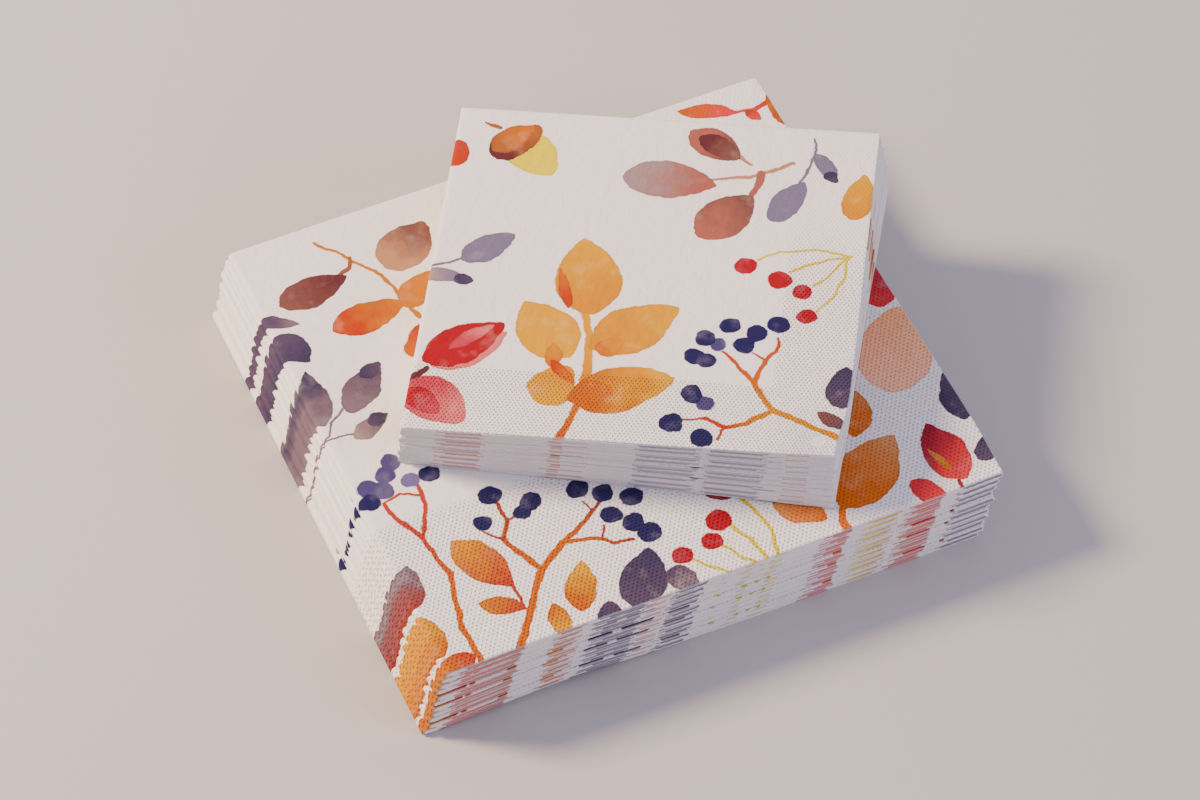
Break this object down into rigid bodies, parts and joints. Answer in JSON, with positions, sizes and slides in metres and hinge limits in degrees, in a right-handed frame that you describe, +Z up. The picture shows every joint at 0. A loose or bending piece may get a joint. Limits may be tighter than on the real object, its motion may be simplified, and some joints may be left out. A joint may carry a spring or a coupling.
{
  "type": "stack of paper napkins",
  "caption": "Pile of small quarter-folded paper napkins lying turned on a pile of larger ones, with an autumn leaf and berry print and dotted embossing along the cut edges.",
  "frame": {"origin": "centre of the bottom face of the lowest lunch napkin, on the table", "axes": "+Z up; X and Y along the sides of the lowest lunch napkin, its second fold on the -X side and its first fold on the +Y side"},
  "size_m": [0.1881, 0.1739, 0.048],
  "materials": {
    "lunch_tissue": "matt three-ply tissue",
    "cocktail_tissue": "matt three-ply tissue"
  },
  "bodies": {
    "root": {"lunch_napkin_01": "lunch_tissue", "lunch_napkin_02": "lunch_tissue", "lunch_napkin_03": "lunch_tissue", "lunch_napkin_04": "lunch_tissue", "lunch_napkin_05": "lunch_tissue", "lunch_napkin_06": "lunch_tissue", "lunch_napkin_07": "lunch_tissue", "lunch_napkin_08": "lunch_tissue", "lunch_napkin_09": "lunch_tissue", "lunch_napkin_10": "lunch_tissue", "lunch_napkin_11": "lunch_tissue", "cocktail_napkin_01": "cocktail_tissue", "cocktail_napkin_02": "cocktail_tissue", "cocktail_napkin_03": "cocktail_tissue", "cocktail_napkin_04": "cocktail_tissue", "cocktail_napkin_05": "cocktail_tissue", "cocktail_napkin_06": "cocktail_tissue", "cocktail_napkin_07": "cocktail_tissue", "cocktail_napkin_08": "cocktail_tissue", "cocktail_napkin_09": "cocktail_tissue"}
  },
  "joints": []
}
